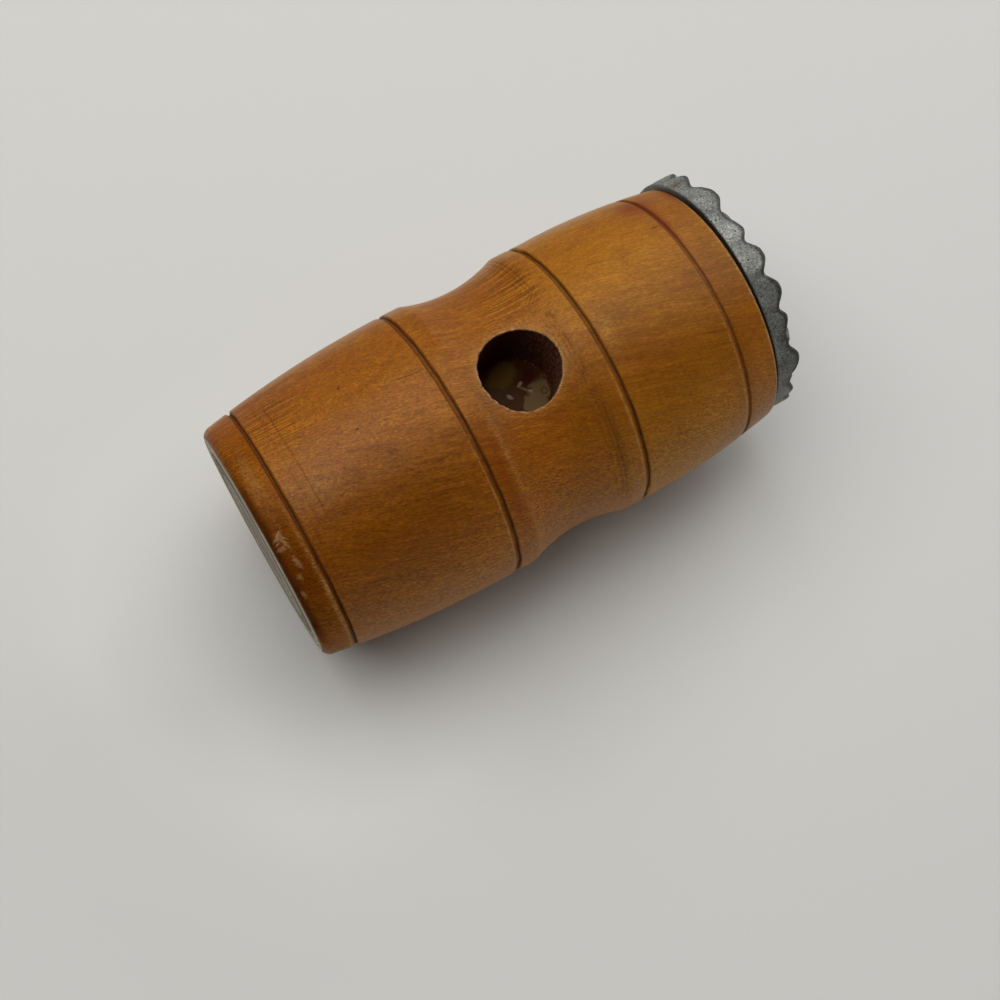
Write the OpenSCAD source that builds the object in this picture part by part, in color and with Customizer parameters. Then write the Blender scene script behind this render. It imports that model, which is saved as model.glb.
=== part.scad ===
// Head of a meat tenderizer mallet: a turned wooden barrel with a blind handle socket, and a cast
// plate of pyramid teeth screwed to one end. The head lies on its side with the socket facing up.
// X runs along the barrel towards the toothed plate, and all sizes are in millimetres.

/* [Barrel] */
// Middle of the waist to the plain face
plain_end = 56.3; // [45:0.1:75]
// Middle of the waist to the face that carries the plate
plate_end = 46.9; // [40:0.1:65]
// Diameter of the two bellies
belly_d = 57.5; // [54.5:0.1:70]
// Middle of the waist to where the belly starts to curve towards the plain face
plain_run = 15; // [12:0.5:26]
// Radius of the long curve to the plain face
plain_curve_r = 215; // [160:1:320]
// Middle of the waist to where the belly starts to curve towards the plate
plate_run = 20; // [12:0.5:26]
// Radius of the long curve to the plate
plate_curve_r = 145; // [110:1:260]
// Depth of the waist at its middle, below the bellies
waist_deep = 2; // [0.5:0.1:4]
// Length of the hollow cut for the waist
waist_len = 21.6; // [17:0.1:26]
// Rounding of the plain face's edge
plain_edge_r = 1.6; // [0.5:0.1:4]
// Bevel of the edge beside the plate
plate_edge = 0.4; // [0.2:0.1:1]

/* [Turned grooves] */
// Width of each groove at the surface
groove_w = 1.4; // [0.8:0.1:2.4]
// Depth of each groove
groove_deep = 0.7; // [0.3:0.1:1.4]
// Middle of the waist to each of the two inner grooves
inner_groove = 14.8; // [14.4:0.1:17]
// Plain face to the groove beside it
plain_groove = 6.5; // [5.5:0.1:12]
// Plate face to the groove beside it
plate_groove = 7.3; // [4:0.1:12]

/* [Handle socket] */
// Diameter of the socket
socket_d = 16; // [10:0.1:19]
// Depth of the socket below the waist
socket_deep = 17; // [8:0.1:24]
// How far the socket sits from the middle of the waist, towards the plate
socket_off = -0.5; // [-2:0.1:2]

/* [Toothed plate] */
// Diameter of the plate
plate_d = 52.7; // [46:0.1:56]
// Thickness of the rim below the teeth
plate_t = 3; // [2.4:0.1:6]
// Height of the teeth
tooth_h = 2.4; // [1:0.1:4]
// Distance between rows of teeth
tooth_pitch = 7.28; // [5:0.01:10]
// Flat left on the tip of each tooth
tooth_flat = 1.3; // [0.4:0.1:2]
// Fullness of the teeth, from 0 for straight sides to 1 for round ones
tooth_full = 0.55; // [0:0.05:1]
// Turn of the rows about the barrel's axis, in degrees
rows_turn = 14.5; // [0:0.5:45]
// Diameter of the raised seat on the back of the plate
seat_d = 44; // [30:0.5:46]
// Gap that the seat leaves between the wood and the plate's rim
seat_gap = 0.75; // [0.3:0.05:2]
// How far the plate sits towards +Y of the barrel's axis
plate_y = 0.9; // [-1:0.1:1]
// How far the plate sits above the barrel's axis
plate_z = 0.2; // [-1:0.1:1]

/* [Plate screw] */
// Diameter of the screw's shank
screw_d = 4.2; // [3:0.1:6]
// Diameter of the screw's head
screw_head_d = 8.4; // [7:0.1:12]
// Length of the screw
screw_len = 28; // [16:0.5:34]
// Width of the slot in the screw's head
slot_w = 1.2; // [0.6:0.1:2]
// Depth of the slot in the screw's head
slot_deep = 1.2; // [0.5:0.1:2]

/* [Dried glue] */
// Thickness of the glue on the socket's floor
glue_t = 0.1; // [0.05:0.05:2]
// Gap where the glue has shrunk from the socket's wall
glue_gap = 0.25; // [0.1:0.05:1]

/* [Hidden] */
$fn = 96;
// Barrel
belly_r = belly_d / 2;
waist_r = belly_r - waist_deep;
waist_half = waist_len / 2;
cove_r = (waist_half * waist_half + waist_deep * waist_deep) / (2 * waist_deep);
half_w = groove_w / 2;
edge_x = -plain_end + plain_edge_r;
groove_1 = -plain_end + plain_groove;
groove_4 = plate_end - plate_groove;
socket_floor = waist_r - socket_deep;
// Plate
plate_back = plate_end + seat_gap;
valley_x = plate_back + plate_t;
tip_x = valley_x + tooth_h;
// Distance from the plate's centre to the nearest valley of each of the two sets of rows
valley_a = -0.3;
valley_b = 0.7;
rows = ceil(plate_d / 2 / tooth_pitch) + 1;
flank = (tooth_pitch - tooth_flat) / 2;
rim_bevel = 0.3;
// Screw, whose head is countersunk at ninety degrees below a round recess in the teeth
land_gap = 1;
land_deep = 0.2;
land_d = screw_head_d + 2 * land_gap;
land_x = valley_x - land_deep;
lip = 0.3;
neck_x = land_x - lip - (screw_head_d - screw_d) / 2;
screw_end = land_x - screw_len;
point_len = screw_d * 1.5;
point_d = 0.8;
// Clearance round the screw's head, its shank in the plate and its shank in the wood
head_play = 0.1;
shank_play = 0.2;
pilot_play = 0.03;
// The origin lies below the middle of the part's length, where the bellies touch the table
origin_x = (tip_x - plain_end) / 2;
past = 1;

// Radius of the barrel before the waist and the grooves are cut
function bulge(x) = let (start = x < 0 ? plain_run : plate_run, r = x < 0 ? plain_curve_r : plate_curve_r)
    abs(x) < start ? belly_r : belly_r - r + sqrt(r * r - pow(abs(x) - start, 2));
// Radius of the barrel with the waist cut in
function barrel(x) = abs(x) < waist_half
    ? waist_r + cove_r - sqrt(cove_r * cove_r - x * x) : bulge(x);
// Points on the barrel between two places, as radius and distance
function run(a, b, n) = [for (i = [0 : n]) let (x = a + (b - a) * i / n) [barrel(x), x]];
// Points of a groove
function groove(x) = [for (s = [-1 : 1])
    [barrel(x + s * half_w) - (s == 0 ? groove_deep : 0), x + s * half_w]];
// Height of a tooth's side at a distance from the valley, as a share of its full rise
function rise(d) = (1 - tooth_full) * 2 * d / tooth_pitch + tooth_full * sin(180 * d / tooth_pitch);

outline = concat(
    [[0, -plain_end]],
    [for (a = [0 : 15 : 75])
        [barrel(edge_x) - plain_edge_r * (1 - sin(a)), edge_x - plain_edge_r * cos(a)]],
    run(edge_x, groove_1 - 2 * half_w, 2), groove(groove_1),
    run(groove_1 + 2 * half_w, -inner_groove - 2 * half_w, 10), groove(-inner_groove),
    run(-waist_half - 1, -waist_half - 0.5, 1),
    run(-waist_half, waist_half, 16),
    run(waist_half + 0.5, waist_half + 1, 1), groove(inner_groove),
    run(inner_groove + 2 * half_w, groove_4 - 2 * half_w, 8), groove(groove_4),
    run(groove_4 + 2 * half_w, plate_end - plate_edge, 2),
    [[barrel(plate_end) - plate_edge, plate_end], [0, plate_end]]);

// Puts the middle of the waist, on the barrel's axis, in its place above the table
module placed() translate([-origin_x, 0, belly_r]) children();

// Lays a shape that was built along Z along the barrel
module along() rotate([0, 90, 0]) children();

// The same on the plate's own centre
module on_plate() translate([0, plate_y, plate_z]) along() children();

// A round bar from one distance along the barrel to another
module bar(from, to, d) translate([0, 0, from]) cylinder(h = to - from, d = d);

// Parallel ridges over the whole plate, with one valley at a distance from its centre
module ridges(turn, shift) rotate([0, 0, turn]) translate([shift, 0, 0]) rotate([90, 0, 0])
    linear_extrude(height = 2 * plate_d, center = true)
    polygon(concat(
        [[rows * tooth_pitch, 0], [-rows * tooth_pitch, 0]],
        [for (k = [-rows : rows], s = [-1, -0.67, -0.33, 0, 0.33, 0.67, 1])
            if (abs(k) < rows || k * s <= 0)
            [k * tooth_pitch + s * flank, valley_x + tooth_h * rise(abs(s) * flank) / rise(flank)]]));

// The screw's outline turned about its axis, wider all round by a play on its head and on its shank
module screw_shape(head, shank) rotate_extrude() polygon([
    [0, screw_end], [point_d / 2 + shank, screw_end], [screw_d / 2 + shank, screw_end + point_len],
    [screw_d / 2 + shank, neck_x - head + shank], [screw_head_d / 2 + head, land_x - lip],
    [screw_head_d / 2 + head, land_x], [0, land_x]]);

module wooden_head() color("peru") placed() difference() {
    along() rotate_extrude() polygon(outline);
    translate([socket_off, 0, socket_floor]) cylinder(h = belly_r, d = socket_d);
    on_plate() screw_shape(head_play, pilot_play);
}

module toothed_plate() color("gray") placed() on_plate() difference() {
    union() {
        intersection() {
            rotate_extrude() polygon([[0, plate_back], [plate_d / 2 - rim_bevel, plate_back],
                [plate_d / 2, plate_back + rim_bevel], [plate_d / 2, tip_x + past], [0, tip_x + past]]);
            ridges(rows_turn + 90, valley_a);
            ridges(rows_turn + 180, valley_b);
        }
        bar(plate_end, plate_back + rim_bevel, seat_d);
    }
    bar(land_x, tip_x + 2 * past, land_d);
    screw_shape(head_play, shank_play);
}

module plate_screw() color("silver") placed() on_plate() difference() {
    screw_shape(0, 0);
    translate([-screw_head_d, -slot_w / 2, land_x - slot_deep])
        cube([2 * screw_head_d, slot_w, slot_deep + past]);
}

module dried_glue() color("darkgoldenrod") placed() translate([socket_off, 0, socket_floor])
    cylinder(h = glue_t, d = socket_d - 2 * glue_gap);

wooden_head();
toothed_plate();
plate_screw();
dried_glue();
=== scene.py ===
"""Dresses the CAD model of an old meat tenderizer head: its turned and varnished wooden barrel, the cast
toothed plate on one end, the plate's screw, and the dried glue in the empty handle socket."""
import math

import bmesh
import bpy
import numpy as np
from mathutils import Matrix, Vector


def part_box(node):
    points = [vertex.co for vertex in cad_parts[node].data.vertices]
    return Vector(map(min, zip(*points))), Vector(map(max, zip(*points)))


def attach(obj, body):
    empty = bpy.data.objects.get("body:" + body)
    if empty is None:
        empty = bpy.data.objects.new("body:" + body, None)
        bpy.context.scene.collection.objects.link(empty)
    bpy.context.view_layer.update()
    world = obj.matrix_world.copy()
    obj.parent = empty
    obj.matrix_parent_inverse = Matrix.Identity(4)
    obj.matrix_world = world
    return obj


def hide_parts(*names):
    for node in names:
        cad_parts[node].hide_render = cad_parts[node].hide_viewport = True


bl_info = {
    "name": "Meat Tenderizer Head",
    "version": (1, 0, 0),
    "blender": (4, 5, 0),
    "location": "View3D > Sidebar > Tenderizer",
    "description": "Builds the head of an old wooden meat tenderizer and its studio",
    "category": "Add Mesh",
}

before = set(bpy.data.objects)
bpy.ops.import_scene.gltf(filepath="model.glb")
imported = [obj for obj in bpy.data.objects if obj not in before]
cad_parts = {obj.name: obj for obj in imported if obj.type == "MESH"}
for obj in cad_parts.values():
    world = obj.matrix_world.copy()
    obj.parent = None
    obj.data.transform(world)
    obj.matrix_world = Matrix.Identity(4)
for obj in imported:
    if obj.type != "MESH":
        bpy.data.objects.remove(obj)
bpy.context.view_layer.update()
MM = 0.001
HEAD_LOW, HEAD_HIGH = [np.array(corner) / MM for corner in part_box("wooden_head")]
PLATE_LOW, PLATE_HIGH = [np.array(corner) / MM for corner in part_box("toothed_plate")]
# Height of the barrel's axis, and its belly's radius
AXIS_Z = (HEAD_LOW[2] + HEAD_HIGH[2]) / 2
BELLY_R = (HEAD_HIGH[2] - HEAD_LOW[2]) / 2
# Where the middle of the waist lies along X
WAIST_X = HEAD_HIGH[0] - 46.9


# Helpers
def linear(code):
    """Turns an sRGB hex colour into the linear colour that Blender works in."""
    parts = [int(code[k:k + 2], 16) / 255 for k in (1, 3, 5)]
    return tuple(c / 12.92 if c <= 0.04045 else ((c + 0.055) / 1.055) ** 2.4 for c in parts) + (1.0,)


def add(tree, kind, inputs=None, ramp=None, **settings):
    """Adds a node with its settings, and sets or links its inputs."""
    node = tree.nodes.new(kind)
    for name, value in settings.items():
        setattr(node, name, value)
    for name, value in (inputs or {}).items():
        if isinstance(value, bpy.types.NodeSocket):
            tree.links.new(value, node.inputs[name])
        else:
            node.inputs[name].default_value = value
    if ramp:
        points = node.color_ramp.elements
        while len(points) < len(ramp):
            points.new(0.5)
        for point, (place, colour) in zip(points, ramp):
            point.position = place
            point.color = colour if len(colour) == 4 else (*colour, 1)
    return node


def new_material(name):
    material = bpy.data.materials.new(name)
    material.use_nodes = True
    tree = material.node_tree
    tree.nodes.clear()
    return material, tree


def grit(points, cell, seed):
    """Smooth noise from 0 to 1 at points given in millimetres, with lumps as large as the cell."""
    q = points / cell + seed * 17.31
    base = np.floor(q)
    t = q - base
    t = t * t * (3 - 2 * t)
    total = 0
    for dx in (0, 1):
        for dy in (0, 1):
            for dz in (0, 1):
                corner = base + (dx, dy, dz)
                value = np.sin(corner @ (127.1, 311.7, 74.7) + seed) * 43758.5453
                share = np.abs(1 - dx - t[..., 0]) * np.abs(1 - dy - t[..., 1]) * np.abs(1 - dz - t[..., 2])
                total = total + share * (value - np.floor(value))
    return total


def seen_rays(tree):
    """Adds the test for rays that show the backdrop: those of the camera, mirrors and glass."""
    ray = add(tree, "ShaderNodeLightPath").outputs
    seen = add(tree, "ShaderNodeMath", {0: ray["Is Camera Ray"], 1: ray["Is Glossy Ray"]}, operation="MAXIMUM")
    return add(tree, "ShaderNodeMath", {0: seen.outputs[0], 1: ray["Is Transmission Ray"]}, operation="MAXIMUM").outputs[0]


def make_piece(name, points, faces, material, marks=None):
    """Makes a mesh object from points in millimetres and puts it in the scene."""
    mesh = bpy.data.meshes.new(name)
    mesh.from_pydata((np.asarray(points) * MM).tolist(), [], faces)
    mesh.validate()
    shell = bmesh.new()
    shell.from_mesh(mesh)
    bmesh.ops.recalc_face_normals(shell, faces=shell.faces)
    shell.to_mesh(mesh)
    shell.free()
    mesh.shade_smooth()
    for label, values in (marks or {}).items():
        layer = mesh.attributes.new(label, "FLOAT", "POINT")
        layer.data.foreach_set("value", np.asarray(values, dtype=np.float32))
    mesh.materials.append(material)
    piece = bpy.data.objects.new(name, mesh)
    bpy.context.scene.collection.objects.link(piece)
    return piece


def strip(lower, upper, closed=True):
    """Faces between two rows of point numbers."""
    n = len(lower)
    last = n if closed else n - 1
    return [(lower[k], lower[(k + 1) % n], upper[(k + 1) % n], upper[k]) for k in range(last)]


# Sizes and colours
def length(name, description, default, low=0.0, high=200.0):
    """A size kept in millimetres, because the details are too small for metres."""
    return bpy.props.FloatProperty(name=name, description=description, default=default, min=low, max=high)


def colour(name, description, code):
    return bpy.props.FloatVectorProperty(
        name=name, description=description, default=linear(code), size=4, subtype="COLOR", min=0, max=1)


class HeadSizes(bpy.types.PropertyGroup):
    plain_end: length("Plain end", "Middle of the waist to the plain face, in mm", 56.3)
    plate_end: length("Plate end", "Middle of the waist to the plate's face, in mm", 46.9)
    waist_deep: length("Waist depth", "Depth of the waist below the bellies, in mm", 2.0)
    waist_half: length("Waist half length", "Half the length of the waist, in mm", 10.8)
    edge_r: length("Edge rounding", "Rounding of the plain face's edge, in mm", 2.1)
    groove_w: length("Groove width", "Width of each turned groove, in mm", 1.3)
    groove_deep: length("Groove depth", "Depth of each turned groove, in mm", 0.6)
    socket_r: length("Socket radius", "Radius of the handle socket, in mm", 8.0)
    socket_deep: length("Socket depth", "Depth of the socket below the waist, in mm", 17.0)
    socket_off: length("Socket offset", "Socket's place beside the waist's middle, in mm", -0.5, -5.0)


class PlateSizes(bpy.types.PropertyGroup):
    radius: length("Plate radius", "Radius of the toothed plate, in mm", 26.35)
    rim: length("Rim thickness", "Thickness of the plate below its teeth, in mm", 3.35)
    tooth_h: length("Tooth height", "Height of the teeth, in mm", 2.4)
    pitch: length("Tooth pitch", "Distance between rows of teeth, in mm", 7.28)
    flat: length("Tooth tip", "Width of each tooth's worn tip, in mm", 1.3)
    full: bpy.props.FloatProperty(name="Fullness", description="Roundness of the teeth", default=0.55,
                                  min=0, max=1, subtype="FACTOR")
    turn: bpy.props.FloatProperty(name="Turn", description="Turn of the rows of teeth",
                                  default=math.radians(14.5), unit="ROTATION")
    gap: length("Rim gap", "Gap between the wood and the plate's rim, in mm", 0.4)
    seat_r: length("Seat radius", "Radius of the raised seat on the plate's back, in mm", 22.0)
    land_r: length("Recess radius", "Radius of the recess round the screw, in mm", 5.2)


class HeadColours(bpy.types.PropertyGroup):
    varnish_light: colour("Light varnish", "Lighter streaks of the varnished wood", "#b06c14")
    varnish_mid: colour("Varnish", "Most of the varnished wood", "#8c4f03")
    varnish_dark: colour("Dark varnish", "Darker streaks of the varnished wood", "#663402")
    varnish_red: colour("Red varnish", "Reddish places in the varnish", "#7a2c02")
    # Dirt, also used for painted shade in the grooves and along the plain edge, and for the scratches
    dirt_and_shade: colour("Groove dirt", "Dirt in the turned grooves", "#3c1a02")
    # Worn varnish, also used for painted highlights and reflections on the barrel
    crest: colour("Worn varnish", "Worn crests beside the grooves", "#b98c50")
    # Bare wood, also used for the painted highlight on the torn fibres in the socket
    bare: colour("Bare wood", "Chips and the socket's raw mouth", "#ac8c62")
    end_grain: colour("End grain", "Bare end of the barrel", "#a1988b")
    # The socket's colour is stain with painted shade
    socket: colour("Socket wall", "Stained wood inside the socket", "#4c1e0a")
    cast: colour("Cast metal", "Most of the cast metal", "#7d7e7a")
    cast_light: colour("Bright metal", "High grains of the cast metal", "#b9bab4")
    cast_dark: colour("Dark metal", "Low grains of the cast metal", "#4a4b48")
    # Grime, also used for painted shade on the plate's rim, lower side and back edge
    grime_and_shade: colour("Grime", "Grime in the hollows of the cast metal", "#1c1a16")
    rust: colour("Rust", "Rust stain on the plate", "#5a4420")
    steel: colour("Old steel", "The plate's screw", "#8a857c")
    glue_brown: colour("Brown glue", "Thick brown glue", "#4c2e0c")
    glue_red: colour("Red glue", "Reddish blotches in the brown glue", "#421a10")
    glue_film: colour("Glue film", "Thin olive-brown film of glue", "#684e20")
    glue_pale: colour("Pale glue", "Pale dried glue", "#745e3e")
    # Also paints the glints on the glue's beads
    glue_crust: colour("Glue crust", "Pale crusts and cracks of the glue", "#b09c88")
    floor: colour("Floor", "Pale paper under the head", "#cfcfcc")
    wall: colour("Wall", "Pale wall behind the floor", "#cfd0cd")


# Barrel
def turned_radius(x, s):
    """Radius of the barrel without its grooves, at a distance from the middle of the waist."""
    start = np.where(x < 0, 15.0, 20.0)
    bow = np.where(x < 0, 215.0, 145.0)
    past = np.maximum(np.abs(x) - start, 0)
    belly = BELLY_R - bow + np.sqrt(bow * bow - past * past)
    cove = (s.waist_half ** 2 + s.waist_deep ** 2) / (2 * s.waist_deep)
    inside = np.clip(cove * cove - x * x, 0, None)
    waist = BELLY_R - s.waist_deep + cove - np.sqrt(inside)
    return np.where(np.abs(x) < s.waist_half, waist, belly)


# The four turned grooves: place along the barrel, depth as a share, where the dark stain of dirt and painted shade in
# each starts and ends beside that place, where its pale crest of worn varnish and painted highlight lies, the angle
# down the front where the crest starts, and the crest's width and strength
GROOVES = ((-49.8, 1.0, -0.45, 0.3, -0.95, -4, 0.42, 0.75), (-14.9, 1.0, -0.8, 0.32, -1.05, 2, 0.22, 0.6),
           (14.8, 1.0, -0.7, 0.28, -1.15, 6, 0.22, 0.6), (39.4, 0.6, -0.5, 0.35, -1.0, 8, 0.2, 0.6))


def smooth(value, low, high):
    """Rises softly from 0 at low to 1 at high, or falls where low is above high."""
    t = np.clip((value - low) / (high - low), 0, 1)
    return t * t * (3 - 2 * t)


def barrel_points(x, angle, s):
    """Points on the barrel, with its worn and slightly uneven grooves."""
    r = turned_radius(x, s)
    here = np.stack([x, r * np.sin(angle), r * np.cos(angle)], -1)
    cut = np.zeros_like(x)
    for k, (place, depth, low, high, crest, start, wide, pale) in enumerate(GROOVES):
        wander = 0.14 * (grit(here * (0.05, 1, 1), 9, 3 + k) - 0.5)
        side = x - place - wander
        half = s.groove_w / 2
        uneven = 0.75 + 0.35 * grit(here * (0.3, 1, 1), 2.5, 11 + k)
        # Steep on the side of the plate, and worn to a slope on the other
        cut += s.groove_deep * uneven * depth * np.where(
            side > 0, smooth(side, half * 0.8, 0.1), smooth(side, low - 0.25, low / 2) ** 1.2)
        cut += 0.05 * np.exp(-((side + half) / 0.4) ** 2)
    # Faint turning lines
    for place, deep in ((-46.4, 0.02), (-44.6, 0.04), (8.0, 0.03), (9.0, 0.04), (9.8, 0.04)):
        cut += deep * np.exp(-((x - place) / 0.16) ** 2)
    dents = np.clip(grit(here, 5, 31) - 0.62, 0, 1) * 0.25 + np.clip(grit(here, 1.6, 37) - 0.75, 0, 1) * 0.12
    r = r - cut - dents
    return np.stack([x + WAIST_X, r * np.sin(angle), AXIS_Z + r * np.cos(angle)], -1)


def barrel_rows(s):
    """Places of the rows of points along the barrel, close together where there is detail."""
    start, stop = -s.plain_end + s.edge_r, s.plate_end - 0.4
    fine = [np.arange(groove[0] - 1.8, groove[0] + 0.9, 0.15) for groove in GROOVES]
    for place in (-46.4, -44.6, -s.waist_half, 8.0, 9.0, 9.8, s.waist_half):
        fine.append(np.arange(place - 0.45, place + 0.5, 0.18))
    fine = np.concatenate(fine)
    coarse = np.concatenate([np.arange(start, -52, 0.3), np.arange(-52, stop, 0.9)])
    coarse = coarse[np.abs(coarse[:, None] - fine).min(axis=1) > 0.3]
    x = np.unique(np.concatenate([fine, coarse, [start, stop]]))
    return x[np.append(np.diff(x) > 0.1, True)]


def barrel_mesh(s):
    """All points and faces of the barrel: its two ends, its turned side and the blind socket."""
    turns = 320
    angle = (np.arange(turns) / turns * 2 - 1) * math.pi
    edge = s.edge_r
    x = barrel_rows(s)
    points, faces = [], []

    def put(block):
        first = sum(len(b) for b in points)
        points.append(block.reshape(-1, 3))
        return np.arange(first, first + block.shape[0] * block.shape[1]).reshape(block.shape[:2])

    # Turned side
    grid_x, grid_a = np.meshgrid(x, angle, indexing="ij")
    side = put(barrel_points(grid_x, grid_a, s))
    centre = s.socket_off
    i0, i1 = np.searchsorted(x, centre - 12.2), np.searchsorted(x, centre + 12.2)
    j0, j1 = np.searchsorted(angle, math.radians(-27)), np.searchsorted(angle, math.radians(27))
    for i in range(len(x) - 1):
        for j in range(turns):
            if i0 <= i < i1 and j0 <= j < j1:
                continue
            k = (j + 1) % turns
            faces.append((side[i, j], side[i, k], side[i + 1, k], side[i + 1, j]))

    # Patch round the socket's mouth, from the edge of the cleared block to the round hole
    border = [(i0, j) for j in range(j0, j1)] + [(i, j1) for i in range(i0, i1)]
    border += [(i1, j) for j in range(j1, j0, -1)] + [(i, j0) for i in range(i1, i0, -1)]
    ring = np.array([side[b] for b in border])
    # Twice as many points inside as on the border
    bx, by = points[0][ring, 0] - WAIST_X, points[0][ring, 1]
    bx = np.stack([bx, (bx + np.roll(bx, -1)) / 2], -1).ravel()
    by = np.stack([by, (by + np.roll(by, -1)) / 2], -1).ravel()
    turn = np.arctan2(by, bx - centre)
    round_it = np.stack([np.cos(turn), np.sin(turn), 0 * turn], -1) * 8
    # Small nicks in the mouth, most of them on its lower left
    nicks = np.clip(grit(round_it, 0.45, 5) - 0.55, 0, 1) * (0.25 + 0.45 * smooth(-np.cos(turn - 0.4), -0.2, 0.8))
    hole = s.socket_r - 0.16 + nicks + 0.1 * grit(round_it, 2.4, 6) + 0.2 * (grit(round_it, 0.4, 9) - 0.5)
    hx, hy = centre + (hole + 0.25) * np.cos(turn), (hole + 0.25) * np.sin(turn)
    previous = None
    for t in (0.86, 0.72, 0.6, 0.49, 0.4, 0.32, 0.25, 0.19, 0.14, 0.1, 0.065, 0.035, 0.012, 0):
        px, py = hx + (bx - hx) * t, hy + (by - hy) * t
        a = np.arcsin(py / turned_radius(px, s))
        block = barrel_points(px, a, s)
        row = put(block[None])[0]
        if previous is None:
            for k in range(len(ring)):
                after, inner = ring[(k + 1) % len(ring)], row[(2 * k + 2) % len(row)]
                faces.append((ring[k], row[2 * k + 1], row[2 * k]))
                faces.append((ring[k], after, row[2 * k + 1]))
                faces.append((after, inner, row[2 * k + 1]))
        else:
            faces += strip(previous, row)
        previous = row
    top = block[:, 2]
    for inset, drop in ((0.15, 0.05), (0.06, 0.14), (0.0, 0.3)):
        block = np.stack([WAIST_X + centre + (hole + inset) * np.cos(turn), (hole + inset) * np.sin(turn),
                          top - drop - 0.15 * grit(round_it, 0.5, 8)], -1)
        row = put(block[None])[0]
        faces += strip(previous, row)
        previous = row
    # Rough wall of the socket down to its floor
    floor_z = AXIS_Z + BELLY_R - s.waist_deep - s.socket_deep
    for share in np.linspace(0.03, 1, 22):
        z = top - 0.3 + (floor_z - top + 0.3) * share
        here = np.stack([8 * np.cos(turn), 8 * np.sin(turn), z], -1)
        rough = s.socket_r - 0.05 + 0.08 * grit(here * (1, 1, 0.6), 0.6, 21) + 0.1 * grit(here * (1, 1, 2), 2.2, 22)
        block = np.stack([WAIST_X + centre + rough * np.cos(turn), rough * np.sin(turn), z], -1)
        row = put(block[None])[0]
        faces += strip(previous, row)
        previous = row
    for share in (0.97, 0.88, 0.7, 0.45, 0.15):
        here = np.stack([8 * share * np.cos(turn), 8 * share * np.sin(turn), 0 * turn], -1)
        z = floor_z - 0.12 * grit(here, 1.2, 24)
        block = np.stack([WAIST_X + centre + here[:, 0], here[:, 1], z], -1)
        row = put(block[None])[0]
        faces += strip(previous, row)
        previous = row
    faces.append(tuple(previous))

    # Plain end: the rounded edge, then the bare face with its turned rings
    def end_rings(rows, joined, inward):
        previous = joined
        for px, pr in rows:
            here = np.stack([px + 0 * angle, pr * np.sin(angle), pr * np.cos(angle)], -1)
            r_now = pr - np.clip(grit(here, 1.8, 41) - 0.6, 0, 1) * (0.35 if inward else 0.1)
            block = np.stack([WAIST_X + here[:, 0], r_now * np.sin(angle), AXIS_Z + r_now * np.cos(angle)], -1)
            row = put(block[None])[0]
            faces.extend(strip(row, previous) if inward else strip(previous, row))
            previous = row
        faces.append(tuple(previous[::-1]) if inward else tuple(previous))

    outer = float(turned_radius(np.array(-s.plain_end + edge), s))
    rows = [(-s.plain_end + edge - edge * math.sin(b), outer - edge * (1 - math.cos(b)))
            for b in np.radians(np.arange(12, 91, 12))]
    r = outer - edge
    rows.append((-s.plain_end, r))
    rings = ((23.0, 0.2), (21.4, 0.15), (19.2, 0.2), (16.5, 0.08), (12.8, 0.1), (8.0, 0.08), (3.0, 0.12))
    while r > 0.8:
        r -= 0.3 if min(abs(r - 0.15 - place) for place, deep in rings) < 0.6 else 1.1
        sink = sum(deep * math.exp(-((r - place) / 0.3) ** 2) for place, deep in rings)
        rows.append((-s.plain_end + sink, r))
    end_rings(rows, list(side[0]), True)
    face_r = float(turned_radius(np.array(s.plate_end), s)) - 0.4
    end_rings([(s.plate_end, face_r), (s.plate_end, 24.0), (s.plate_end, 22.5), (s.plate_end, 12.0),
               (s.plate_end, 4.0)], list(side[-1]), False)
    return np.concatenate(points), faces


# Large soft differences in the varnish's tone, some of them painted light and shade: place along the barrel, angle down
# the front in degrees, half length in mm, half angle in degrees, how much paler (or darker, below 0) and how much
# redder
# The painted ones are the darker patches low on the front and the paler ones at the edges that turn away from the eye
TONES = ((-26, 28, 9, 26, -0.12, 0), (-8, -28, 5, 24, -0.14, 0), (-4, 38, 7, 18, 0.2, 0), (21, -2, 6, 12, -0.1, 0),
         (33, -24, 4, 10, 0.14, 0), (33, 46, 6, 14, 0.14, 0), (44, -18, 3, 20, -0.16, 0), (44, 46, 3, 20, 0.3, 0),
         (38.2, -46, 3, 7, -0.34, 0.7), (-12.7, 40, 1.1, 26, -0.12, 0.45), (10.3, 45, 0.9, 18, -0.28, 0),
         (-52.5, -34, 1.2, 12, 0, 0.15), (-53.0, 24, 2.8, 34, -0.27, 0.1), (22, 19, 7, 7, -0.05, 0.15),
         (-50.6, -20, 0.5, 30, -0.1, 0.4), (47, -44, 1.6, 8, -0.3, 0.9), (-34, 46, 14, 12, -0.13, 0),
         (39.6, -30, 0.8, 16, -0.32, 0.8), (-42, 4, 9, 9, -0.09, 0), (-53, 72, 2.5, 9, 0.15, 0),
         (-53, -26, 2.2, 8, -0.14, 0), (21, -15, 5, 7, 0.12, 0), (43.5, -5, 3, 7, -0.13, 0),
         (-8.8, -52, 1.6, 9, 0.15, 0), (12.4, 40, 0.8, 22, -0.14, 0.1), (-53, -54, 2.5, 9, 0.2, 0),
         (-9.4, 2, 1.8, 11, -0.28, 0), (33, -5, 6, 8, -0.1, 0))


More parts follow.
